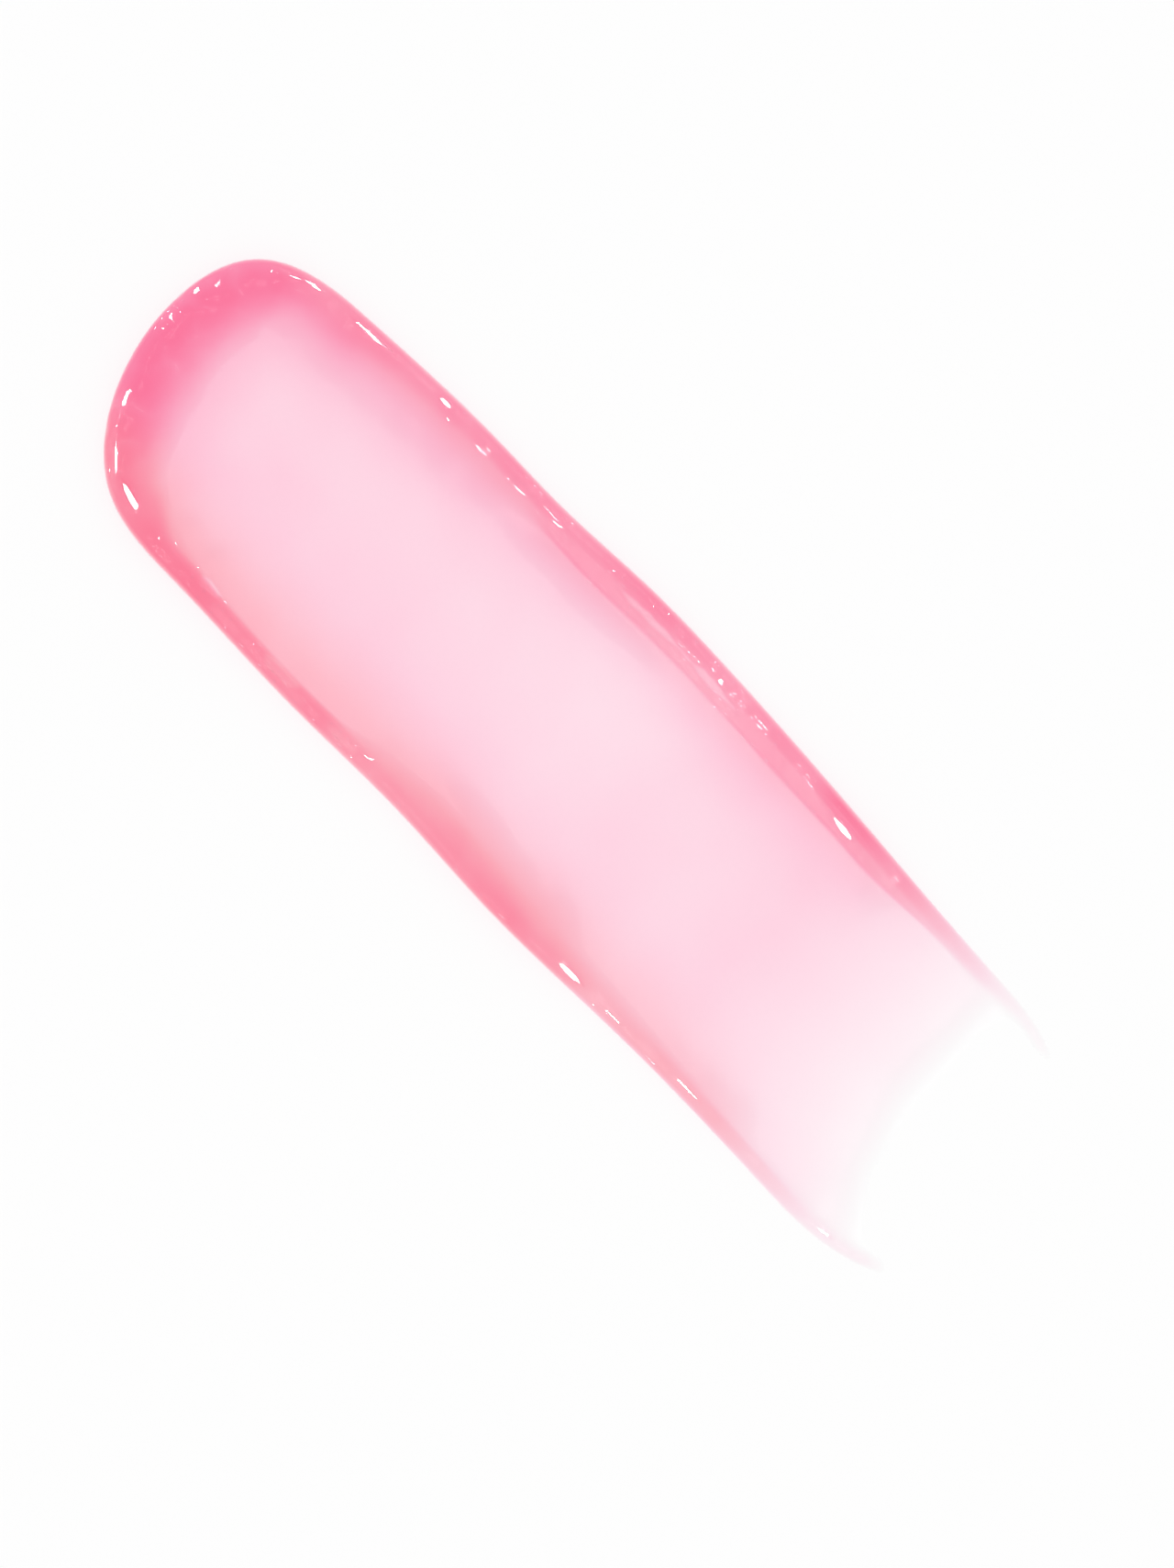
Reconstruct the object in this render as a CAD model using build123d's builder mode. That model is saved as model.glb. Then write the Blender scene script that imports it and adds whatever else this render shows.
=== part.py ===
from build123d import *
import os

# Lip gloss smear: one spatula stroke of thick, clear pink gel on a flat surface.
#
# A dollop is set down at the head and pulled towards +X. The gel that the blade ploughs aside stands
# as a bead along each edge of the stroke, the dollop's front stays behind as a high rounded bank, and
# a thin film lies between them. It feathers out where the blade lifts, between two trailing wisps.
#
# The gel is one continuous mass. Each form of it is a solid of its own, and neighbours meet face to
# face on upright walls. Millimetres, +Z up, underside on Z = 0, X along the stroke, and the origin in
# the middle of the stroke's length and width.

# ---- overall ----------------------------------------------------------------------------------
smear_length = 52.2  # blunt head to the tip of the longer wisp
smear_width = 15.0  # between the outer contact lines, at the widest

# ---- outline on the paper: the head, measured from its foremost point -------------------------
nose_y = 1.0  # the foremost point stands this far off the centre line
upper_corner_length = 5.8  # back to where the upper side begins
upper_corner_fullness = 0.71  # 0.55 is an ellipse, 1 a square corner
upper_shoulder_inset = 0.9  # the upper side begins this far inside its crown
lower_corner_length = 9.5
lower_turn_length = 4.1  # the lower corner turns sharpest this far back
lower_turn_inset = 0.67
focus_setback = 10.0  # the sections of the head fan out from a point this far back

# ---- outline on the paper: the sides and the tail, measured back from the longer wisp's tip ---
upper_crown_x = 0.5  # the widest point of the upper side, from the origin
upper_tail_setback = 6.4
upper_tail_inset = 0.8
upper_tip_setback = 1.6
upper_tip_inset = 1.6
lower_waist_x = 4.0  # the lower side draws in a little here, from the origin
lower_waist_inset = 0.28
lower_tail_setback = 5.1
lower_tail_inset = 0.68
lower_tip_inset = 1.8
tip_slope = 0.5  # how sharply both sides turn in at their tips

# ---- bank, the high rim of gel round the head ---------------------------------------------------
bank_height = 1.3
bank_width = 4.4  # outer contact line to the film
bank_crest_inset = 1.1
bank_inner_height = 0.5
bank_length = 1.6  # full bank over this length, then it narrows into the two beads
bank_taper_length = 11.5

# ---- beads, one along each side -----------------------------------------------------------------
upper_bead_height = 1.05
lower_bead_height = 1.0
bead_width = 0.9
bead_crest_inset = 0.42
bead_inner_height = 0.84
upper_fade_setback = 12.6  # the upper bead starts to sink here
upper_fade_length = 9.0
lower_fade_setback = 15.6
lower_fade_length = 14.0

# ---- the rim's steep outer flank is an arc from the paper to the crest, by way of a point at ------
flank_lean = 0.35  # this share of the crest's inset
flank_rise = 0.68  # and this share of its height

# ---- wisps, the thin trails past the film ----------------------------------------------------------
upper_wisp_setback = 5.6  # where each bead turns into its wisp
lower_wisp_setback = 6.1
wisp_tip_height = 0.08
wisp_inner_height = 0.05
wisp_tip_width = 0.5

# ---- fold, a lapped step inside the upper bead ---------------------------------------------------
fold_width = 0.7
fold_height = 0.78
fold_edge_height = 0.62  # height of its crisp inner edge
fold_start_lag = 0.0  # past the end of the bank's taper
fold_ramp = 9.0  # length over which each end sinks into the film, the far one where the bead ends

# ---- swell, the thick soft shoulder inside the lower bead -------------------------------------------
swell_width = 2.2
swell_height = 0.8
swell_foot_height = 0.44
swell_start_lag = 1.0
swell_end_gap = 4.7  # ends this far before the film does
swell_ramp = 7.0

# ---- film between them ------------------------------------------------------------------------
film_at_bank = 0.38
film_thickness = 0.3
feather_setback = 14.6  # the film thins from here
feather_length = 10.7
feather_edge = 0.04
feather_hollow = 0.5  # how far the middle of the feathered edge stays behind its ends
feather_split = 1.5  # the film is called feathered from this far past the start of thinning

# ---- how neighbours meet ------------------------------------------------------------------------
lap = 0.3  # a blank runs this far into the neighbour whose place is then cut from it
lap_step = 0.04  # a strip stands this much lower than its bead, and ends this far above the film
clearing = 1.0  # a block that clears a place reaches this far below the underside and above the bank

# ---- sections in each loft ------------------------------------------------------------------------
bank_sections = 19
bead_sections = 7
wisp_sections = 5
strip_sections = 15

half_width = smear_width / 2
head_x = -smear_length / 2
tip_x = smear_length / 2
bank_taper_x = head_x + bank_length
beads_x = bank_taper_x + bank_taper_length
feather_x = tip_x - feather_setback
feather_end_x = feather_x + feather_length
upright = Vector(0, 0, 1)

os.makedirs("parts", exist_ok=True)


def ramp(value, start, length):
    """Smooth rise from 0 at start to 1 a length further on."""
    share = min(max((value - start) / length, 0), 1)
    return share * share * (3 - 2 * share)


def mix(first, second, share):
    return first + (second - first) * share


def fractions(count):
    return [step / (count - 1) for step in range(count)]


# ---- outline: from the lower tip round the head to the upper tip -------------------------------------
nose = Vector(head_x, nose_y)
lower_belly = Vector(head_x + lower_corner_length, -half_width)
upper_shoulder = Vector(head_x + upper_corner_length, half_width - upper_shoulder_inset)
lower_tip = Vector(tip_x, lower_tip_inset - half_width)
upper_tip = Vector(tip_x - upper_tip_setback, half_width - upper_tip_inset)
shoulder_slope = 2 * upper_shoulder_inset / (upper_crown_x - upper_shoulder.X)
shoulder_handle = Vector(1, shoulder_slope) * (upper_corner_length * upper_corner_fullness)

with BuildLine() as contact_line:
    lower_side = Spline(
        lower_tip,
        (tip_x - lower_tail_setback, lower_tail_inset - half_width),
        (lower_waist_x, lower_waist_inset - half_width),
        lower_belly,
        tangents=[(-1, -tip_slope), (-1, 0)],
    )
    lower_corner = Spline(
        lower_belly,
        (head_x + lower_turn_length, lower_turn_inset - half_width),
        nose,
        tangents=[(-1, 0), (0, 1)],
    )
    upper_corner = Bezier(
        nose,
        nose + (0, (upper_shoulder.Y - nose_y) * upper_corner_fullness),
        upper_shoulder - shoulder_handle,
        upper_shoulder,
    )
    upper_side = Spline(
        upper_shoulder,
        (upper_crown_x, half_width),
        (tip_x - upper_tail_setback, half_width - upper_tail_inset),
        upper_tip,
        tangents=[(1, shoulder_slope), (1, -tip_slope)],
    )

focus = Vector(head_x + focus_setback, 0)


def section_plane(spot):
    """Upright plane at a point of the outline: local X runs inwards, local Y up."""
    inward = Vector(0, -1 if spot.Y > 0 else 1, 0)
    if spot.X < focus.X:
        inward = (focus - spot).normalized()
    return Plane(origin=spot, x_dir=inward, z_dir=inward.cross(upright))


def film_level(x):
    """Thickness of the film along the stroke: the same curve as the film's side view below."""
    settled = mix(film_at_bank, film_thickness, ramp(x, head_x, beads_x - head_x))
    thinning = min(max((x - feather_x) / feather_length, 0), 1)
    return mix(settled, feather_edge, thinning)


# ---- rim: bank, beads and wisps in one loft -----------------------------------------------------------
def slimming(spot):
    """How far the bank has turned into a bead."""
    return ramp(spot.X, bank_taper_x, bank_taper_length)


def fading(spot):
    """How far a bead has sunk into its wisp."""
    if spot.Y > 0:
        return ramp(spot.X, tip_x - upper_fade_setback, upper_fade_length)
    return ramp(spot.X, tip_x - lower_fade_setback, lower_fade_length)


def narrowing(spot):
    """How far a wisp has narrowed towards its tip."""
    setback = upper_wisp_setback if spot.Y > 0 else lower_wisp_setback
    return ramp(spot.X, tip_x - setback, setback)


def rim_width(spot):
    return mix(mix(bank_width, bead_width, slimming(spot)), wisp_tip_width, narrowing(spot))


def inner_height(spot):
    """Height of the rim's upright inner wall."""
    full = mix(bank_inner_height, bead_inner_height, slimming(spot))
    return mix(full, wisp_inner_height, fading(spot))


def rim_profile(spot):
    """Steep outside, rounded crest, then falling to the upright inner wall."""
    bead_height = upper_bead_height if spot.Y > 0 else lower_bead_height
    crest = mix(mix(bank_height, bead_height, slimming(spot)), wisp_tip_height, fading(spot))
    crest_inset = mix(bank_crest_inset, bead_crest_inset, slimming(spot))
    crest_inset = mix(crest_inset, wisp_tip_width / 2, narrowing(spot))
    width = rim_width(spot)
    foot = inner_height(spot)
    halfway = ((crest_inset + width) / 2, (crest + foot) / 2)
    with BuildSketch() as profile:
        with BuildLine():
            ThreePointArc((0, 0), (crest_inset * flank_lean, crest * flank_rise), (crest_inset, crest))
            TangentArc((crest_inset, crest), halfway, tangent=(1, 0))
            TangentArc((width, foot), halfway, tangent=(-1, 0))
            Line((width, foot), (width, 0))
            Line((width, 0), (0, 0))
        make_face()
    return profile.sketch


outline = contact_line.wire()


def along(side, x):
    """Length along the outline, from its lower tip, to a side's point at about x."""
    first, last = side.position_at(0).X, side.position_at(1).X
    start = 0 if side is lower_side else outline.length - side.length
    return start + side.length * (x - first) / (last - first)


def spots(start, end, count):
    """Evenly spaced points of the outline between two lengths along it."""
    return [outline @ (mix(start, end, share) / outline.length) for share in fractions(count)]


def footprint(piece):
    """An upright block on the outline of a piece's base, to clear its place in a neighbour."""
    base = Face(piece.part.faces().sort_by(Axis.Z)[0].outer_wire())
    return extrude(Pos(0, 0, -clearing) * base, amount=bank_height + 2 * clearing, dir=(0, 0, 1))


lower_bead_start = along(lower_side, beads_x)
lower_bead_end = along(lower_side, tip_x - lower_wisp_setback)
upper_bead_start = along(upper_side, beads_x)
upper_bead_end = along(upper_side, tip_x - upper_wisp_setback)

with BuildPart() as start_bank:
    for spot in spots(lower_bead_start, upper_bead_start, bank_sections):
        with BuildSketch(section_plane(spot)):
            add(rim_profile(spot))
    loft()

with BuildPart() as upper_bead:
    for spot in spots(upper_bead_start, upper_bead_end, bead_sections):
        with BuildSketch(section_plane(spot)):
            add(rim_profile(spot))
    loft()

with BuildPart() as upper_wisp:
    for spot in spots(upper_bead_end, outline.length, wisp_sections):
        with BuildSketch(section_plane(spot)):
            add(rim_profile(spot))
    loft()

with BuildPart() as lower_bead:
    for spot in spots(lower_bead_start, lower_bead_end, bead_sections):
        with BuildSketch(section_plane(spot)):
            add(rim_profile(spot))
    loft()

with BuildPart() as lower_wisp:
    for spot in spots(lower_bead_end, 0, wisp_sections):
        with BuildSketch(section_plane(spot)):
            add(rim_profile(spot))
    loft()

# ---- fold and swell: strips along the inner wall of a bead ----------------------------------------------
def lift(spot, start_x, end_x, length):
    """Share of its full height that a strip has: it rises and sinks over one length at each end."""
    return ramp(spot.X, start_x, length) * (1 - ramp(spot.X, end_x - length, length))


fold_start_x = beads_x + fold_start_lag
fold_end_x = tip_x - upper_wisp_setback
swell_start_x = beads_x + swell_start_lag
swell_end_x = feather_end_x - swell_end_gap


def strip_profile(spot, width, raised, height, foot_height):
    """Level top that starts under the bead and falls to an upright inner wall."""
    low = film_level(spot.X) + lap_step
    top = mix(low, min(height, inner_height(spot) - lap_step), raised)
    foot = mix(low, min(foot_height, inner_height(spot) - lap_step), raised)
    start = rim_width(spot) - lap
    end = rim_width(spot) + width
    halfway = (start + end) / 2
    with BuildSketch() as profile:
        with BuildLine():
            Line((start, 0), (start, top))
            Bezier(
                (start, top),
                (halfway, top),
                (halfway, foot),
                (end, foot),
            )
            Line((end, foot), (end, 0))
            Line((end, 0), (start, 0))
        make_face()
    return profile.sketch


with BuildPart() as fold_blank:
    for spot in spots(along(upper_side, fold_start_x), along(upper_side, fold_end_x), strip_sections):
        raised = lift(spot, fold_start_x, fold_end_x, fold_ramp)
        with BuildSketch(section_plane(spot)):
            add(strip_profile(spot, fold_width, raised, fold_height, fold_edge_height))
    loft()

with BuildPart() as upper_fold:
    add(fold_blank.part)
    add(footprint(upper_bead), mode=Mode.SUBTRACT)

with BuildPart() as swell_blank:
    for spot in spots(along(lower_side, swell_start_x), along(lower_side, swell_end_x), strip_sections):
        raised = lift(spot, swell_start_x, swell_end_x, swell_ramp)
        with BuildSketch(section_plane(spot)):
            add(strip_profile(spot, swell_width, raised, swell_height, swell_foot_height))
    loft()

with BuildPart() as lower_swell:
    add(swell_blank.part)
    add(footprint(lower_bead), mode=Mode.SUBTRACT)

# ---- film: a sheet over the whole stroke, less everything that stands on its edges -------------------------
with BuildPart() as film_sheet:
    with BuildSketch() as film_plan:
        with BuildLine() as film_outline:
            add(contact_line.line)
            Line(upper_tip, lower_tip)
        make_face()
        offset(amount=-lap)
        with BuildLine() as feather_outline:
            ThreePointArc(
                (feather_end_x, -half_width),
                (feather_end_x - feather_hollow, 0),
                (feather_end_x, half_width),
            )
            Polyline(
                (feather_end_x, half_width),
                (head_x, half_width),
                (head_x, -half_width),
                (feather_end_x, -half_width),
            )
        make_face(mode=Mode.INTERSECT)
    extrude(amount=bank_height)
    with BuildSketch(Plane.XZ):
        with BuildLine():
            Bezier(
                (head_x, film_at_bank),
                (mix(head_x, beads_x, 1 / 3), film_at_bank),
                (mix(head_x, beads_x, 2 / 3), film_thickness),
                (beads_x, film_thickness),
            )
            Polyline(
                (beads_x, film_thickness),
                (feather_x, film_thickness),
                (feather_end_x, feather_edge),
                (feather_end_x, 0),
                (head_x, 0),
                (head_x, film_at_bank),
            )
        make_face()
    extrude(amount=smear_width, both=True, mode=Mode.INTERSECT)
    for neighbour in (fold_blank, swell_blank, start_bank, upper_bead, upper_wisp, lower_bead, lower_wisp):
        add(footprint(neighbour), mode=Mode.SUBTRACT)

with BuildPart() as film:
    add(film_sheet.part)
    split(bisect_by=Plane.YZ.offset(feather_x + feather_split), keep=Keep.BOTTOM)

with BuildPart() as feathered_film:
    add(film_sheet.part)
    split(bisect_by=Plane.YZ.offset(feather_x + feather_split), keep=Keep.TOP)

# ---- one file for each form --------------------------------------------------------------------------
start_bank.part.label = "start_bank"
export_step(start_bank.part, "parts/start_bank.step")

upper_bead.part.label = "upper_bead"
export_step(upper_bead.part, "parts/upper_bead.step")

upper_fold.part.label = "upper_fold"
export_step(upper_fold.part, "parts/upper_fold.step")

upper_wisp.part.label = "upper_wisp"
export_step(upper_wisp.part, "parts/upper_wisp.step")

lower_bead.part.label = "lower_bead"
export_step(lower_bead.part, "parts/lower_bead.step")

lower_swell.part.label = "lower_swell"
export_step(lower_swell.part, "parts/lower_swell.step")

lower_wisp.part.label = "lower_wisp"
export_step(lower_wisp.part, "parts/lower_wisp.step")

film.part.label = "film"
export_step(film.part, "parts/film.step")

feathered_film.part.label = "feathered_film"
export_step(feathered_film.part, "parts/feathered_film.step")
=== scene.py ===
"""Looks of the lip gloss smear: one continuous mass of clear pink gel on white paper.

The gel's nine CAD forms touch along inner walls that the real gel doesn't have, so one closed mesh
stands for all of them. In plan it is a grid: columns run inwards from the contact line, and rows
follow the forms that lie along it. The height at each grid point is worked out from the bank, beads,
fold, swell and film, and the colour comes from the depth of gel, a little warmer along the two sides.
The plan and the heights are in millimetres, and the mesh is in metres.
"""

import math

import bpy
import numpy as np
from mathutils import Euler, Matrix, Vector, noise
from mathutils.kdtree import KDTree


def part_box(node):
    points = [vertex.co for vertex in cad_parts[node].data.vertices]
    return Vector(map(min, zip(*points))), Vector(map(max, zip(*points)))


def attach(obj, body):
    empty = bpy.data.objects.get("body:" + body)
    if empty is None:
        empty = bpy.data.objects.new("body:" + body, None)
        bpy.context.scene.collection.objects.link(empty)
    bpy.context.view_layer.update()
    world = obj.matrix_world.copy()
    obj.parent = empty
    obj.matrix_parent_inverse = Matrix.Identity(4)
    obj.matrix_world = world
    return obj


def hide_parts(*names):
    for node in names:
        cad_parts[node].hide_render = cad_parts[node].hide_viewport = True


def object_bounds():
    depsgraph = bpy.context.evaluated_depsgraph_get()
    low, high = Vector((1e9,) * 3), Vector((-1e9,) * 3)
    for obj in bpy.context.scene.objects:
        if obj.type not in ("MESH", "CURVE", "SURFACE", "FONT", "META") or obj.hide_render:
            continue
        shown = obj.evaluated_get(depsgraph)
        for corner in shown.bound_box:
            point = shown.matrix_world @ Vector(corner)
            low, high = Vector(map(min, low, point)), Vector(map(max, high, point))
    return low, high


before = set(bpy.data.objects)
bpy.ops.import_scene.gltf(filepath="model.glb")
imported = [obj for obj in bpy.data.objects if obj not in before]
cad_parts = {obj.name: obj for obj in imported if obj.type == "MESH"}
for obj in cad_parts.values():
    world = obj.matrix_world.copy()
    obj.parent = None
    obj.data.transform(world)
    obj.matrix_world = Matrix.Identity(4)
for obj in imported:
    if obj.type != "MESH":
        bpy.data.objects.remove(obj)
cad_low, cad_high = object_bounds()

MM = 0.001

# ---- the stroke's extent, from the CAD model -----------------------------------------------------------
head_x = cad_low.x / MM
tip_x = cad_high.x / MM
edge_y = (cad_high.y - cad_low.y) / MM / 2
bank_height = cad_high.z / MM
upper_tip_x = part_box("upper_wisp")[1].x / MM

# ---- camera and lamps, in metres -----------------------------------------------------------------------
slant = math.radians(46.5)
aim = Vector((1.56 * MM, -0.42 * MM, 0))
frame_height = 68.36 * MM
lens, sensor_width = 100, 36
camera_place = aim + Vector((0, 0, lens / sensor_width * frame_height))

world_level = 0.3  # the share of the paper's light that comes from all round
world_mirrored = 0.35  # how far the world in reflections is from that level towards white
overhead_height = 2.0
overhead_radius = 0.4
rim_lamp_azimuths = (90, 135, 180, 225, 270)  # degrees, as the zenith
rim_lamp_zenith = 55
rim_lamp_distance = 0.5
rim_lamp_radius = 0.02
rim_lamp_brightness = 80


def rim_lamp_place(azimuth):
    """Where the rim lamp of this azimuth stands: all are as far off and as high as one another."""
    place = Vector((0, 0, rim_lamp_distance))
    place.rotate(Euler((0, math.radians(rim_lamp_zenith), math.radians(azimuth))))
    return place


# ---- outline: places along the stroke are measured from the head and from the longer wisp's tip --------
nose_y = 1.0
upper_fullness = 0.69
shoulder_slope = 0.085
tip_slope = 0.5
upper_side_points = [
    (head_x + 5.8, edge_y - 0.93),
    (head_x + 14.0, edge_y - 0.42),
    (head_x + 18.0, edge_y - 0.4),
    (head_x + 23.3, edge_y - 0.05),
    (head_x + 28.0, edge_y),
    (head_x + 36.0, edge_y - 0.28),
    (tip_x - 6.4, edge_y - 0.75),
    (upper_tip_x, edge_y - 1.6),
]
lower_side_points = [
    (head_x + 9.5, -edge_y + 0.12),
    (head_x + 16.0, -edge_y + 0.08),
    (head_x + 23.0, -edge_y + 0.3),
    (head_x + 28.6, -edge_y + 0.18),
    (head_x + 36.5, -edge_y + 0.53),
    (tip_x - 7.0, -edge_y + 0.6),
    (tip_x - 2.2, -edge_y + 0.95),
    (tip_x, -edge_y + 1.8),
]
lower_turn = (head_x + 4.15, -edge_y + 0.72)

# ---- the notch between the wisps, where the film has thinned to nothing --------------------------------
upper_notch_x = tip_x - 3.4
middle_notch_x = tip_x - 3.6
lower_notch_x = tip_x - 0.9
notch_approach = 3  # how far before the notch a rim's inner side starts to fall
rim_run_out = (0.2, 0.8)  # (start, length) of the rim's fall there, as shares of its width
wisp_end_share = 0.999  # a wisp narrows over this share of its length, so that its rows never meet

# ---- grid ----------------------------------------------------------------------------------------------
side_columns = 480
head_columns = 340
wisp_columns = 24
flank_rows = 12
crown_rows = 22
step_rows = 8
skirt_rows = 14
film_rows = 14
skirt_rows_reach = 2.2  # how far past the rim they go, in millimetres
skirt_rows_share = 0.6  # and at most this share of the way in from there
skirt_rows_spread = 1.3  # above 1, the first rows lie closest together
corner_points = 300
shoulder_points = 100


def ramp(value, start, length):
    """Smooth rise from 0 at start to 1 a length further on."""
    share = np.clip((value - start) / length, 0, 1)
    return share * share * (3 - 2 * share)


def mix(first, second, share):
    return first + (second - first) * share


def course(x, *stations):
    """Value along the stroke that eases from one (x, value) station to the next."""
    at, values = np.array(stations, float).T
    i = np.clip(np.searchsorted(at, x) - 1, 0, len(at) - 2)
    return mix(values[i], values[i + 1], ramp(x, at[i], at[i + 1] - at[i]))


def spline(points, x, first_slope, last_slope):
    """Smooth curve y(x) through points, with the given slopes at its ends."""
    px, py = np.array(points, float).T
    gap = np.diff(px)
    rise = np.diff(py) / gap
    count = len(px)
    system = np.eye(count)
    right = np.zeros(count)
    right[0], right[-1] = first_slope, last_slope
    for i in range(1, count - 1):
        system[i, i - 1 : i + 2] = gap[i], 2 * (gap[i - 1] + gap[i]), gap[i - 1]
        right[i] = 3 * (gap[i] * rise[i - 1] + gap[i - 1] * rise[i])
    slope = np.linalg.solve(system, right)
    i = np.clip(np.searchsorted(px, x) - 1, 0, count - 2)
    t = (x - px[i]) / gap[i]
    value = py[i] * (1 + 2 * t) * (1 - t) ** 2 + py[i + 1] * t * t * (3 - 2 * t)
    return value + gap[i] * t * (1 - t) * (slope[i] * (1 - t) - slope[i + 1] * t)


def upper_side(x):
    return np.stack([x, spline(upper_side_points, x, shoulder_slope, -tip_slope)], -1)


def lower_side(x):
    return np.stack([x, spline(lower_side_points, x, 0, tip_slope)], -1)


def lower_corner():
    """From the lower side through the corner's turn to the nose, which it meets square on."""
    points = np.array([lower_side_points[0], lower_turn, (head_x, nose_y)])
    at = np.concatenate([[0], np.cumsum(np.linalg.norm(np.diff(points, axis=0), axis=1))])
    run = np.linspace(0, at[-1], corner_points)
    across = spline(np.stack([at, points[:, 0]], -1), run, -1, 0)
    up = spline(np.stack([at, points[:, 1]], -1), run, 0, 1)
    return np.stack([across, up], -1)


def upper_corner():
    """From the nose to the upper side."""
    shoulder = np.array(upper_side_points[0])
    nose = np.array([head_x, nose_y])
    climb = np.array([0, (shoulder[1] - nose_y) * upper_fullness])
    handle = np.array([1, shoulder_slope]) * (shoulder[0] - head_x) * upper_fullness
    t = np.linspace(0, 1, corner_points)[:, None]
    near_nose = (1 - t) ** 3 * nose + 3 * t * (1 - t) ** 2 * (nose + climb)
    return near_nose + 3 * t * t * (1 - t) * (shoulder - handle) + t**3 * shoulder


def head_side(count, focus_x):
    """The contact line round the head, evenly spaced, between the two sides at the focus."""
    shoulder = upper_side(np.linspace(upper_side_points[0][0], focus_x, shoulder_points))
    line = np.concatenate([lower_corner(), upper_corner()[1:], shoulder[1:]])
    run = np.concatenate([[0], np.cumsum(np.linalg.norm(np.diff(line, axis=0), axis=1))])
    even = np.linspace(0, run[-1], count + 2)[1:-1]
    return np.stack([np.interp(even, run, line[:, k]) for k in (0, 1)], -1)


# ---- columns: each has an outer end on the contact line and an inner end -------------------------------
# Round the head they all run in to one focus, and along the two sides they end on the spine. Those
# of the wisps, past the notch, have no film and stop where the rim does.
focus = np.array([lower_side_points[0][0], 0])
share = np.linspace(0, 1, side_columns)
wisp_share = np.linspace(0, 1, wisp_columns + 1)[1:]
upper_points = upper_side(mix(focus[0], upper_notch_x, share))
lower_points = lower_side(mix(focus[0], lower_notch_x, share))
upper_wisp = upper_side(mix(upper_notch_x, upper_tip_x, wisp_share))
lower_wisp = lower_side(mix(lower_notch_x, tip_x, wisp_share))
head_points = head_side(head_columns, focus[0])
outer = np.concatenate(
    [lower_wisp[::-1], lower_points[::-1], head_points, upper_points, upper_wisp]
)
spine = np.stack([mix(focus[0], middle_notch_x, share), np.zeros(side_columns)], -1)
inner = np.concatenate(
    [
        np.repeat(spine[-1:], wisp_columns, 0),
        spine[::-1],
        np.repeat(focus[None], head_columns, 0),
        spine,
        np.repeat(spine[-1:], wisp_columns, 0),
    ]
)
columns = len(outer)
column = np.arange(columns)
has_film = (column >= wisp_columns) & (column < columns - wisp_columns)
in_head = (column >= wisp_columns + side_columns) & (column < columns - wisp_columns - side_columns)
on_upper = outer[:, 1] > 0
straight_in = np.where(on_upper[:, None], (0.0, -1.0), (0.0, 1.0))
to_focus = inner - outer
to_focus /= np.linalg.norm(to_focus, axis=1)[:, None]
inward = np.where(in_head[:, None], to_focus, straight_in)
tangent = np.gradient(outer, axis=0)
tangent /= np.linalg.norm(tangent, axis=1)[:, None]
squareness = np.abs(inward[:, 0] * tangent[:, 1] - inward[:, 1] * tangent[:, 0])  # 1 is a right angle
reach = np.linalg.norm(inner - outer, axis=1)

# ---- forms along the contact line: (x, inset from it) stations, in millimetres -------------------------
flank_inset = 0.36
flank_fullness = 2.2  # 2 is a quarter of an ellipse, and above that the side is steeper
least_step_start = 1.2 * flank_inset
least_step_end = 1.5 * flank_inset
upper_step = (
    (-26, 3.8), (-21, 1.9), (-17, 1.3), (-9, 1.25), (-4, 1.58),
    (6, 1.5), (12, 1.33), (18, 0.8), (24.6, 0.5),
)
lower_step = (
    (-26, 3.8), (-21, 1.9), (-18, 1.15), (-15, 0.9), (-8, 0.92),
    (0, 1.5), (8, 1.15), (16, 0.75), (26.2, 0.6),
)
upper_softness = (-26, 0.8), (-20, 0.8), (-11, 0.6), (-7, 0.08), (16, 0.08), (24, 0.3)
lower_softness = (
    (-26, 0.8), (-19, 0.4), (-15, 0.08), (-9, 0.1), (-5, 0.45),
    (6, 0.45), (14, 0.2), (18, 0.1), (24, 0.3),
)
upper_crest_inset = (-26, 0.85), (-20, 0.65), (-14, 0.5), (14, 0.45)
lower_crest_inset = (-26, 0.85), (-20, 0.6), (-16, 0.65), (-8, 0.65), (-4, 0.4), (14, 0.45)
upper_crown_inset = (-26, 3.8), (-22, 2.3), (-17, 1.4), (-11, 1.0), (-6, 0.84), (14, 0.8)
lower_crown_inset = (-26, 3.8), (-21, 2.4), (-18, 1.2), (-12, 1.0), (-6, 1.0), (0, 1.3), (8, 1.1)
upper_skirt_width = (-26, 2.2), (-20, 1.6), (-16, 1.9), (-12, 1.7), (-2, 1.25), (8, 1.7)
lower_skirt_width = (-26, 2.4), (-18, 1.8), (-10, 2.4), (0, 1.6), (8, 1.6)

# ---- forms along the contact line: (x, height over the paper) stations, in millimetres -----------------
upper_crest = (
    (-26.2, 1.28), (-24.6, 1.28), (-22, 1.0), (-14, 0.88), (-10, 0.96), (-6, 0.86),
    (-2, 1.02), (3, 0.88), (8, 0.94), (10.4, 1.17), (13.5, 0.86),
)
lower_crest = (
    (-26.2, 1.28), (-22, 1.08), (-17, 1.15), (-14, 1.02), (-10, 1.0),
    (-5, 0.84), (3, 1.01), (6.5, 0.78), (8.5, 0.56), (14, 0.63),
)
upper_shelf = (
    (-26, 0.5), (-20, 0.74), (-14, 0.68), (-10, 0.66),
    (-6, 0.76), (0, 0.72), (10, 0.74), (14, 0.66),
)
lower_shelf = (
    (-26, 0.5), (-20, 0.8), (-16, 0.72), (-10, 0.7), (-5, 0.68),
    (1, 0.84), (6, 0.7), (9.5, 0.51), (14, 0.54),
)
upper_skirt = (
    (-26, 0.44), (-20, 0.58), (-15, 0.58), (-8, 0.54),
    (-1, 0.49), (6, 0.5), (12, 0.41), (16, 0.33),
)
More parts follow.
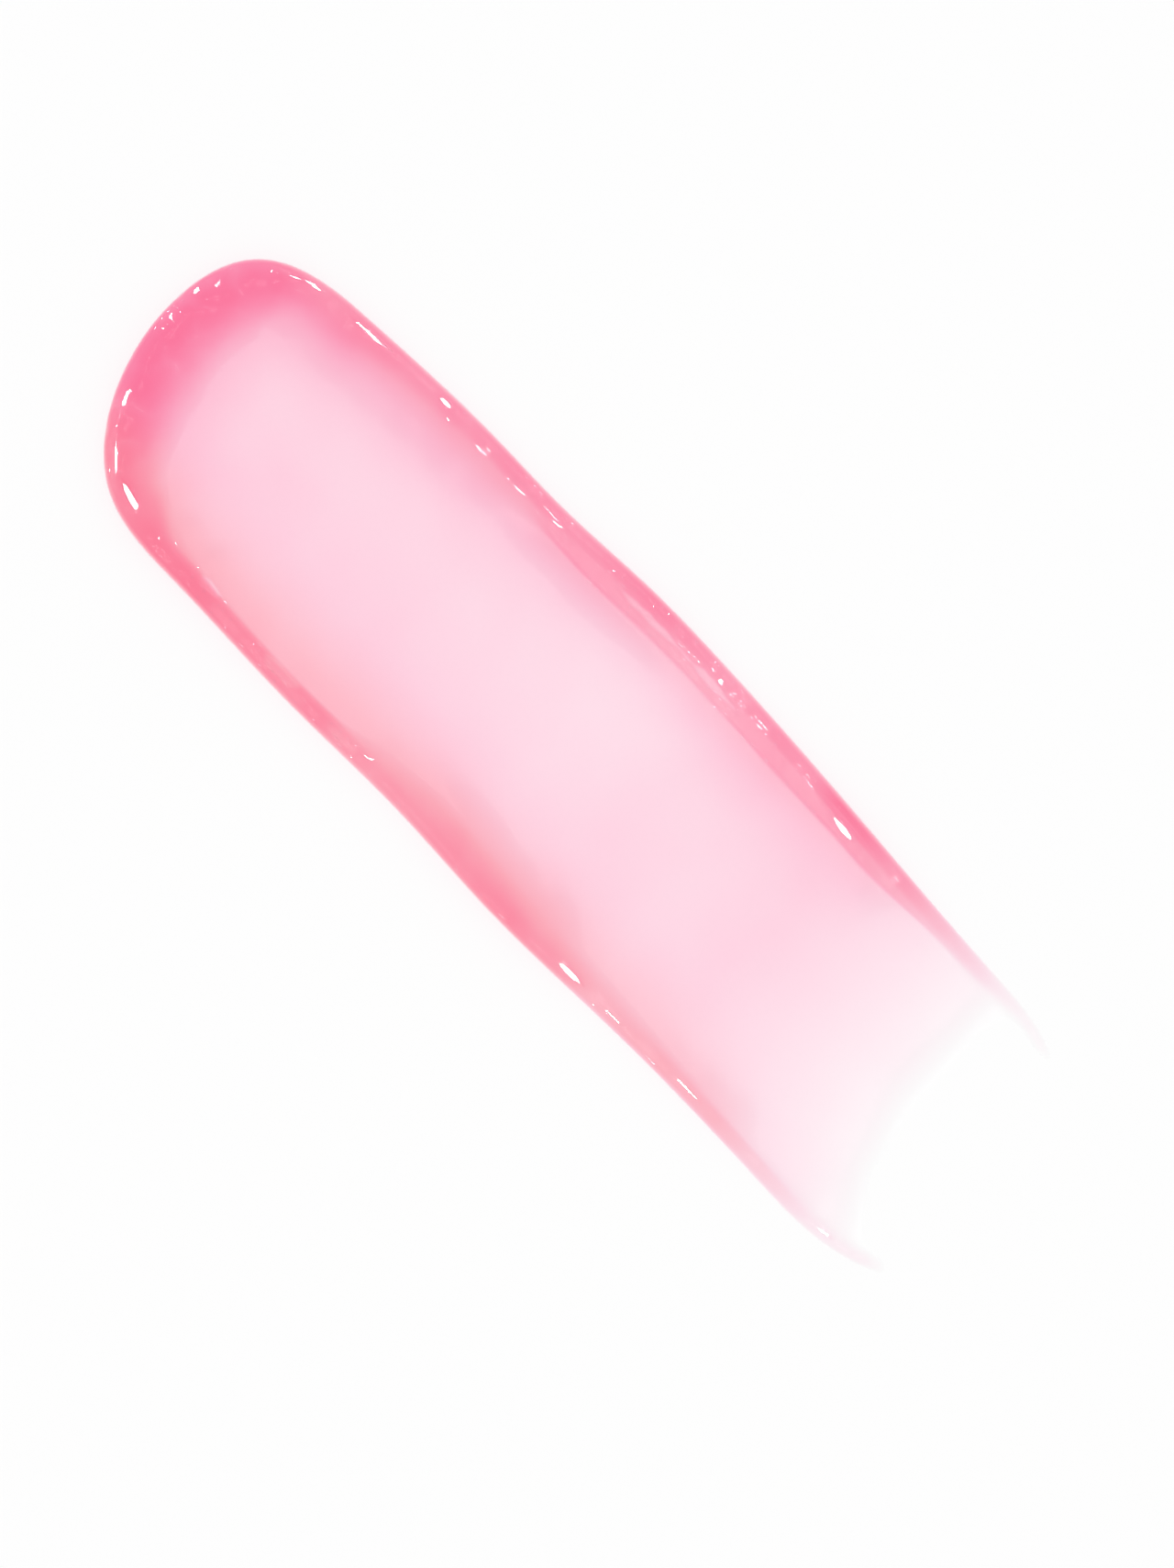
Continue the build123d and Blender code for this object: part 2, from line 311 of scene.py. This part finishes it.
lower_skirt = (
    (-26, 0.44), (-20, 0.62), (-14, 0.56), (-8, 0.53), (1, 0.62),
    (4, 0.62), (9, 0.42), (14, 0.45), (18, 0.38),
)
skirt_power = 1.5
crest_limit = 0.985 * bank_height  # flecks may stand a little higher

# ---- what is left of each rim towards its wisp's tip: (x, share) stations ------------------------------
upper_fade = (11.5, 1), (14, 0.9), (18, 0.4), (20, 0.17), (22, 0.08), (23.5, 0.06), (upper_tip_x, 0)
lower_fade = (12, 1), (16, 0.88), (18, 0.62), (20, 0.48), (22, 0.25), (25, 0.15), (tip_x, 0)

# ---- the film: heights by x, and how far short of the longer tip it ends by y, in millimetres ----------
film_height = (
    (-26, 0.33), (-19, 0.325), (-14, 0.285), (-8, 0.28),
    (0, 0.24), (4, 0.28), (8, 0.285), (12, 0.305),
)
film_end_setback = (-edge_y, 1.5), (-4.5, 2.7), (-3, 3.5), (0, 4), (5, 4.7), (edge_y, 4.7)
film_fade_x = tip_x - 14.5
film_fade_power = 0.75
film_lean = 0.05  # how much deeper it is along the lower side, in the head's half of the stroke
least_height = 0.004  # inside its contact line the gel never gets thinner than this

# ---- where one form gives way to the next: (start, length) of the change, in millimetres ---------------
bank_change = (head_x + 2, 6)  # by x, from the bank to the beads
bank_edge_change = (0.1, 0.9)  # by inset, from the dip along the bank's edge
bank_edge_dip = 0.15
skirt_change = (3.5, 3.5)  # by inset, from the skirt to the film
lean_change_across = (-2, 6)  # by -y, so towards the lower side
lean_change_along = (0, 8)  # by x, from that lean to none

# ---- unevenness: (size of the patches in millimetres, seed, amount) ------------------------------------
swells = (4.5, 7.7, 0.09), (1.7, 3.1, 0.06)
ripples = (0.9, 9.4, 0.05), (0.45, 2.2, 0.02)
bank_hollows = (1.3, 6.6, 1), (0.6, 1.9, 1)
bank_hollow_share = 0.13
ragged_edges = ((0.5, 5.5, 0.35),)

# ---- details of the rim: (way round the contact line, inset, length, width), in millimetres ------------
# The way starts at the nose and is positive along the upper side. Outer flecks look away from the
# stroke, and inner ones across it.
outer_flecks = [
    (-54.3, 0.4, 0.9, 0.12),
    (-45.5, 0.5, 1.7, 0.11),
    (-41.0, 0.45, 1.1, 0.13),
    (-38.3, 0.55, 1.6, 0.26),
    (-9.8, 0.85, 1.6, 0.44),
    (-7.5, 0.64, 2.2, 0.32),
    (-5.1, 0.62, 1.2, 0.4),
    (-0.7, 0.45, 1.0, 0.3),
    (0.9, 0.45, 1.2, 0.3),
    (5.9, 0.5, 0.9, 0.26),
    (7.1, 0.42, 1.0, 0.24),
    (10.35, 0.5, 2.0, 0.17),
    (14.8, 0.5, 0.9, 0.22),
]
inner_flecks = [
    (40.1, 0.9, 1.3, 0.34),
]
dimples = [
    (-24.2, 0.55, 1.7, 0.22),
    (-20.2, 0.7, 1.9, 0.35),
    (-15.3, 1.0, 1.1, 0.4),
    (27.9, 1.0, 3.6, 0.34),
    (31.7, 1.0, 2.6, 0.36),
]
dimple_depth_to_width = 0.55
patch_edge = (0.85, 0.45)  # (start, length) of its change, where 1 is the patch's own outline


# ---- grid points in plan -------------------------------------------------------------------------------
def by_side(x, upper, upper_stations, lower_stations):
    """Value at x from the stations of the side that each place belongs to."""
    return np.where(upper, course(x, *upper_stations), course(x, *lower_stations))


def stretch(first, last, count, power=1):
    """Insets from one to another, a row of them for each column."""
    steps = np.linspace(0, 1, count + 1)[1:] ** power
    return mix(first[:, None], last[:, None], steps)


flank_end = np.full(columns, flank_inset)
flank_steps = 1 - np.cos(np.linspace(0, math.pi / 2, flank_rows + 1))
step_middle = by_side(outer[:, 0], on_upper, upper_step, lower_step)
step_half = by_side(outer[:, 0], on_upper, upper_softness, lower_softness)
step_start = np.maximum(step_middle - step_half, least_step_start)
step_end = np.maximum(step_middle + step_half, least_step_end)
rim_insets = np.concatenate(
    [
        flank_end[:, None] * flank_steps,
        stretch(flank_end, step_start, crown_rows),
        stretch(step_start, step_end, step_rows),
    ],
    axis=1,
)
rim_insets /= squareness[:, None]
for start_x, end_x, here in ((upper_notch_x, upper_tip_x, on_upper), (lower_notch_x, tip_x, ~on_upper)):
    along_wisp = np.clip((outer[:, 0] - start_x) / (end_x - start_x), 0, wisp_end_share)
    narrowed = np.sqrt(1 - along_wisp**2)
    rim_insets[here] *= narrowed[here, None]
rim_end = rim_insets[:, -1]
skirt_end = np.minimum(rim_end + skirt_rows_reach, mix(rim_end, reach, skirt_rows_share))
film_insets = np.concatenate(
    [
        stretch(rim_end, skirt_end, skirt_rows, skirt_rows_spread),
        stretch(skirt_end, reach, film_rows),
    ],
    axis=1,
)
insets = np.concatenate([rim_insets, film_insets], axis=1)
rim_row = rim_insets.shape[1] - 1
rows = insets.shape[1]

# Over the rim each column runs straight in, and from there it leans to its inner end.
rim_plan = outer[:, None] + inward[:, None] * rim_insets[:, :, None]
film_share = (film_insets - rim_end[:, None]) / (reach - rim_end)[:, None]
film_plan = mix(rim_plan[:, -1:], inner[:, None], film_share[:, :, None])
plan = np.concatenate([rim_plan, film_plan], axis=1)
x, y = plan[:, :, 0], plan[:, :, 1]


# ---- the nearest place on the contact line, for each grid point ----------------------------------------
def nearest_columns():
    """For each grid point, the column whose outer end is nearest to it."""
    tree = KDTree(columns)
    for i, place in enumerate(outer):
        tree.insert((*place, 0), i)
    tree.balance()
    found = [tree.find((a, b, 0))[1] for a, b in zip(x.ravel(), y.ravel())]
    return np.array(found).reshape(x.shape)


nearest = nearest_columns()
offset = plan - outer[nearest]
inset = np.abs(offset[:, :, 0] * tangent[nearest][:, :, 1] - offset[:, :, 1] * tangent[nearest][:, :, 0])
along = outer[nearest][:, :, 0]
upper = on_upper[nearest]
edge_run = np.concatenate([[0], np.cumsum(np.linalg.norm(np.diff(outer, axis=0), axis=1))])
nose = np.argmin(outer[:, 0])
edge_run -= edge_run[nose]


# ---- heights -------------------------------------------------------------------------------------------
def mottle(size, seed):
    """Smooth noise over the plan, between about -1 and 1, in patches of about the given size."""
    spots = zip(x.ravel() / size, y.ravel() / size)
    return np.array([noise.noise(Vector((a, b, seed))) for a, b in spots]).reshape(x.shape)


def unevenness(layers):
    """Mottles of several sizes, added up."""
    return sum(amount * mottle(size, seed) for size, seed, amount in layers)


def form(upper_stations, lower_stations):
    """A form's value at each grid point, from the stations of the side that the point is nearest to."""
    return by_side(along, upper, upper_stations, lower_stations)


film_end_x = tip_x - course(y, *film_end_setback)
film = course(x, *film_height)
film += film_lean * ramp(-y, *lean_change_across) * (1 - ramp(x, *lean_change_along))
film *= np.clip((film_end_x - x) / (film_end_x - film_fade_x), 0, 1) ** film_fade_power

fade = np.where(upper, np.interp(along, *zip(*upper_fade)), np.interp(along, *zip(*lower_fade)))
crest = fade * form(upper_crest, lower_crest)
shelf = fade * form(upper_shelf, lower_shelf)
skirt = fade * form(upper_skirt, lower_skirt)
crest_inset = form(upper_crest_inset, lower_crest_inset)
crown_inset = form(upper_crown_inset, lower_crown_inset)
skirt_width = form(upper_skirt_width, lower_skirt_width)
step_inset = form(upper_step, lower_step)
step_softness = form(upper_softness, lower_softness)

# Each form stands on the one before: film, skirt, shelf up to the step, and the crest on top.
past_step = np.maximum(inset - step_inset, 0) / skirt_width
on_skirt = np.exp(-(past_step**skirt_power)) * (1 - ramp(inset, *skirt_change))
on_step = 1 - ramp(inset, step_inset - step_softness, 2 * step_softness)
on_crown = 1 - ramp(inset, crest_inset, crown_inset - crest_inset)
z = film + np.maximum(skirt - film, 0) * on_skirt
z += np.maximum(shelf - skirt, 0) * on_step
z += np.maximum(crest - shelf, 0) * on_crown
in_bank = 1 - ramp(along, *bank_change)
z *= 1 - bank_edge_dip * in_bank * (1 - ramp(inset, *bank_edge_change))
z *= 1 + unevenness(swells)
z *= 1 + on_step * unevenness(ripples)

# Towards the notch the rim's inner side runs out to nothing.
row_share = insets / rim_end[:, None]
notch_x = np.where(on_upper, upper_notch_x, lower_notch_x)
at_notch = ramp(outer[:, 0], notch_x - notch_approach, notch_approach)[:, None]
z *= mix(1, 1 - ramp(row_share, *rim_run_out), at_notch)

# All round, the flank drops to the contact line.
on_flank = np.clip(inset / flank_inset, 0, 1)
z *= np.sqrt(1 - (1 - on_flank) ** flank_fullness)

z = np.minimum(z, crest_limit)
z *= 1 - bank_hollow_share * in_bank * on_crown * np.clip(unevenness(bank_hollows), 0, 1)

# Dimples and flecks have ragged outlines.
ragged = 1 + unevenness(ragged_edges)


def patch(run, patch_inset, length, width):
    """The way from a patch's middle to each grid point, the direction straight in from the contact
    line, and how far within the patch the point lies: 1 at its heart, 0 outside."""
    at = np.argmin(np.abs(edge_run - run))
    ahead = tangent[at]
    inwards = np.array([ahead[1], -ahead[0]])
    middle = outer[at] + inwards * patch_inset
    away = plan - middle
    size = np.hypot(away @ ahead / (length / 2), away @ inwards / (width / 2))
    return away, inwards, 1 - ramp(size * ragged, *patch_edge)


for *where, width in dimples:
    away, inwards, within = patch(*where, width)
    z -= dimple_depth_to_width * width * within


def mirror_slope(place, facing):
    """Slope of a face that shows the camera the rim lamp on the side that the face looks to."""
    toward = math.degrees(math.atan2(facing[1], facing[0])) % 360
    azimuth = min(rim_lamp_azimuths, key=lambda angle: abs(angle - toward))
    to_lamp = rim_lamp_place(azimuth) - place
    halfway = (camera_place - place).normalized() + to_lamp.normalized()
    return -np.array(halfway.xy) / halfway.z


for fleck in outer_flecks + inner_flecks:
    away, inwards, within = patch(*fleck)
    facing = inwards if fleck in inner_flecks else -inwards
    heart = np.unravel_index(np.argmin(np.linalg.norm(away, axis=2)), z.shape)
    place = Vector((x[heart], y[heart], z[heart])) * MM
    face = z[heart] + (plan - plan[heart]) @ mirror_slope(place, facing)
    z = mix(z, face, within)

z = np.clip(z, least_height, bank_height)

# ---- mesh ----------------------------------------------------------------------------------------------
# Top and underside meet along the contact line, the wisps' inner sides and the notch.
last_row = np.where(has_film, rows - 1, rim_row)
on_edge = np.zeros((columns, rows), bool)
on_edge[:, 0] = True
on_edge[column[~has_film], rim_row] = True
on_edge[[0, -1], : rim_row + 1] = True
for c in (wisp_columns, columns - wisp_columns - 1):
    on_edge[c, rim_row:] = True
z[on_edge] = 0


def build_gloss():
    """A closed mesh: the grid's top, and a flat underside with only the rows that it needs."""
    vertices = []
    top = np.full((columns, rows), -1)
    spine_vertices = {}
    for c in range(columns):
        for r in range(last_row[c] + 1):
            key = tuple(inner[c]) if r == rows - 1 else None
            if key in spine_vertices:
                top[c, r] = spine_vertices[key]
                continue
            top[c, r] = len(vertices)
            vertices.append((x[c, r] * MM, y[c, r] * MM, z[c, r] * MM))
            if key:
                spine_vertices[key] = top[c, r]
    shared = set(top[on_edge].tolist())
    under = {}

    def below(v):
        if v in shared:
            return v
        if v not in under:
            under[v] = len(vertices)
            vertices.append((*vertices[v][:2], 0.0))
        return under[v]

    def stretch_of(c, first, last):
        """A column's vertices from one row to another, without those between that top and underside
        don't share."""
        return [top[c, r] for r in range(first, last + 1) if r in (first, last) or on_edge[c, r]]

    def ring(c, first, last):
        corners = stretch_of(c, first, last) + stretch_of(c + 1, first, last)[::-1]
        return [v for k, v in enumerate(corners) if v != corners[k - 1]]

    faces, underside = [], []
    for c in range(columns - 1):
        end = min(last_row[c], last_row[c + 1])
        faces += [ring(c, r, r + 1) for r in range(end)]
        stops = [0, rim_row, end] if end > rim_row else [0, rim_row]
        underside += [ring(c, a, b) for a, b in zip(stops, stops[1:])]
    underside = [[below(v) for v in reversed(face)] for face in underside]
    mesh = bpy.data.meshes.new("gloss")
    mesh.from_pydata(vertices, [], [f for f in faces + underside if len(f) > 2])
    smooth = [True] * len(faces) + [False] * (len(mesh.polygons) - len(faces))
    mesh.polygons.foreach_set("use_smooth", smooth)
    mesh.update()
    return mesh


# ---- the gel's looks -----------------------------------------------------------------------------------
tone_stops = (
    (0.12, (1, 1, 0.74)),
    (0.35, (1, 1, 1)),
    (0.8, (1, 1, 1)),
    (0.92, (1, 1, 0.87)),
)  # (share of the way from the lower side to the upper one, colour)
warm_from = 0.2 * MM
warm_in_full = 0.65 * MM


def warm_tone(nodes, links):
    """Deep gel is a little warmer in tone along the sides, most of all along the lower one."""
    coordinates = nodes.new("ShaderNodeTexCoord")
    split = nodes.new("ShaderNodeSeparateXYZ")
    across = nodes.new("ShaderNodeMapRange")
    across.inputs["From Min"].default_value = -edge_y * MM
    across.inputs["From Max"].default_value = edge_y * MM
    warmth = nodes.new("ShaderNodeValToRGB")
    warmth.color_ramp.interpolation = "EASE"
    stops = warmth.color_ramp.elements  # two to begin with
    for k, (position, colour) in enumerate(tone_stops):
        stop = stops[k] if k < len(stops) else stops.new(position)
        stop.position = position
        stop.color = (*colour, 1)
    depth = nodes.new("ShaderNodeMapRange")
    depth.inputs["From Min"].default_value = warm_from
    depth.inputs["From Max"].default_value = warm_in_full
    tone = nodes.new("ShaderNodeMix")
    tone.data_type = "RGBA"
    tone.inputs["A"].default_value = (1, 1, 1, 1)
    links.new(coordinates.outputs["Object"], split.inputs["Vector"])
    links.new(split.outputs["Y"], across.inputs["Value"])
    links.new(split.outputs["Z"], depth.inputs["Value"])
    links.new(across.outputs["Result"], warmth.inputs["Fac"])
    links.new(depth.outputs["Result"], tone.inputs["Factor"])
    links.new(warmth.outputs["Color"], tone.inputs["B"])
    return tone.outputs["Result"]


def gel_material():
    """Clear pink gel: what it takes from the light grows with its depth."""
    material = bpy.data.materials.new("clear_pink_gel")
    material.use_nodes = True
    nodes, links = material.node_tree.nodes, material.node_tree.links
    nodes.clear()
    output = nodes.new("ShaderNodeOutputMaterial")
    surface = nodes.new("ShaderNodeBsdfPrincipled")
    surface.inputs["Transmission Weight"].default_value = 1
    surface.inputs["IOR"].default_value = 1.45
    surface.inputs["Roughness"].default_value = 0.03
    absorption = nodes.new("ShaderNodeVolumeAbsorption")
    absorption.inputs["Color"].default_value = (0.996, 0.05, 0.41, 1)
    absorption.inputs["Density"].default_value = 690
    links.new(warm_tone(nodes, links), surface.inputs["Base Color"])
    # Light on its way to or from the paper goes straight through, dimmed by the gel's depth alone.
    path = nodes.new("ShaderNodeLightPath")
    straight = nodes.new("ShaderNodeBsdfTransparent")
    either = nodes.new("ShaderNodeMath")
    either.operation = "MAXIMUM"
    blend = nodes.new("ShaderNodeMixShader")
    links.new(path.outputs["Is Shadow Ray"], either.inputs[0])
    links.new(path.outputs["Is Diffuse Ray"], either.inputs[1])
    links.new(either.outputs["Value"], blend.inputs["Fac"])
    links.new(surface.outputs["BSDF"], blend.inputs[1])
    links.new(straight.outputs["BSDF"], blend.inputs[2])
    links.new(blend.outputs["Shader"], output.inputs["Surface"])
    links.new(absorption.outputs["Volume"], output.inputs["Volume"])
    return material


gloss = bpy.data.objects.new("gloss", build_gloss())
bpy.context.scene.collection.objects.link(gloss)
gloss.data.materials.append(gel_material())
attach(gloss, "root")
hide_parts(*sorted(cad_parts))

# ---- paper: it meets the gel with no air between, a hair above the gel's flat underside ----------------
paper_level = 0.012 * MM
bpy.ops.mesh.primitive_plane_add(size=2.0, location=(0, 0, paper_level))
paper = bpy.context.object
paper.name = "paper"
paper_material = bpy.data.materials.new("white_paper")
paper_material.use_nodes = True
paper_surface = paper_material.node_tree.nodes["Principled BSDF"]
paper_surface.inputs["Base Color"].default_value = (0.99, 0.99, 0.99, 1)
paper_surface.inputs["Roughness"].default_value = 0.9
paper_surface.inputs["Specular IOR Level"].default_value = 0
paper.data.materials.append(paper_material)


# ---- light ---------------------------------------------------------------------------------------------
def white_world():
    """White to the camera, less so in reflections, and a share of the light on the paper."""
    world = bpy.data.worlds.new("studio")
    bpy.context.scene.world = world
    world.use_nodes = True
    nodes, links = world.node_tree.nodes, world.node_tree.links
    background = nodes["Background"]
    background.inputs["Color"].default_value = (1, 1, 1, 1)
    path = nodes.new("ShaderNodeLightPath")
    mirrored = nodes.new("ShaderNodeMath")
    mirrored.operation = "MULTIPLY"
    mirrored.inputs[1].default_value = world_mirrored
    seen = nodes.new("ShaderNodeMath")
    seen.operation = "MAXIMUM"
    level = nodes.new("ShaderNodeMapRange")
    level.inputs["To Min"].default_value = world_level
    level.inputs["To Max"].default_value = 1
    links.new(path.outputs["Is Glossy Ray"], mirrored.inputs[0])
    links.new(mirrored.outputs["Value"], seen.inputs[0])
    links.new(path.outputs["Is Camera Ray"], seen.inputs[1])
    links.new(seen.outputs["Value"], level.inputs["Value"])
    links.new(level.outputs["Result"], background.inputs["Strength"])


def lamp(name, place, radius, brightness):
    """A round lamp that faces the stroke, as bright as so many pieces of white paper."""
    data = bpy.data.lights.new(name, "AREA")
    data.shape = "DISK"
    data.size = 2 * radius
    data.energy = brightness * (math.pi * radius) ** 2  # pi watts per square metre for each unit
    placed = bpy.data.objects.new(name, data)
    placed.location = place
    placed.rotation_euler = placed.location.to_track_quat("Z", "Y").to_euler()
    bpy.context.scene.collection.objects.link(placed)
    return placed


white_world()
overhead_place = Vector((0, 0, overhead_height))
overhead_share = overhead_radius**2 / (overhead_radius**2 + overhead_height**2)
overhead = lamp("overhead", overhead_place, overhead_radius, (1 - world_level) / overhead_share)
overhead.visible_glossy = False
for azimuth in rim_lamp_azimuths:
    name = f"rim_lamp_{azimuth}"
    rim_lamp = lamp(name, rim_lamp_place(azimuth), rim_lamp_radius, rim_lamp_brightness)
    rim_lamp.visible_diffuse = False

# ---- camera: straight above, with the stroke slanting down to the right --------------------------------
camera_data = bpy.data.cameras.new("camera")
camera_data.lens = lens
camera_data.sensor_width = sensor_width
camera_data.clip_start = 0.01
camera = bpy.data.objects.new("camera", camera_data)
camera.location = camera_place
camera.rotation_euler = (0, 0, slant)
bpy.context.scene.collection.objects.link(camera)
bpy.context.scene.camera = camera

bpy.context.scene.view_settings.view_transform = "Standard"
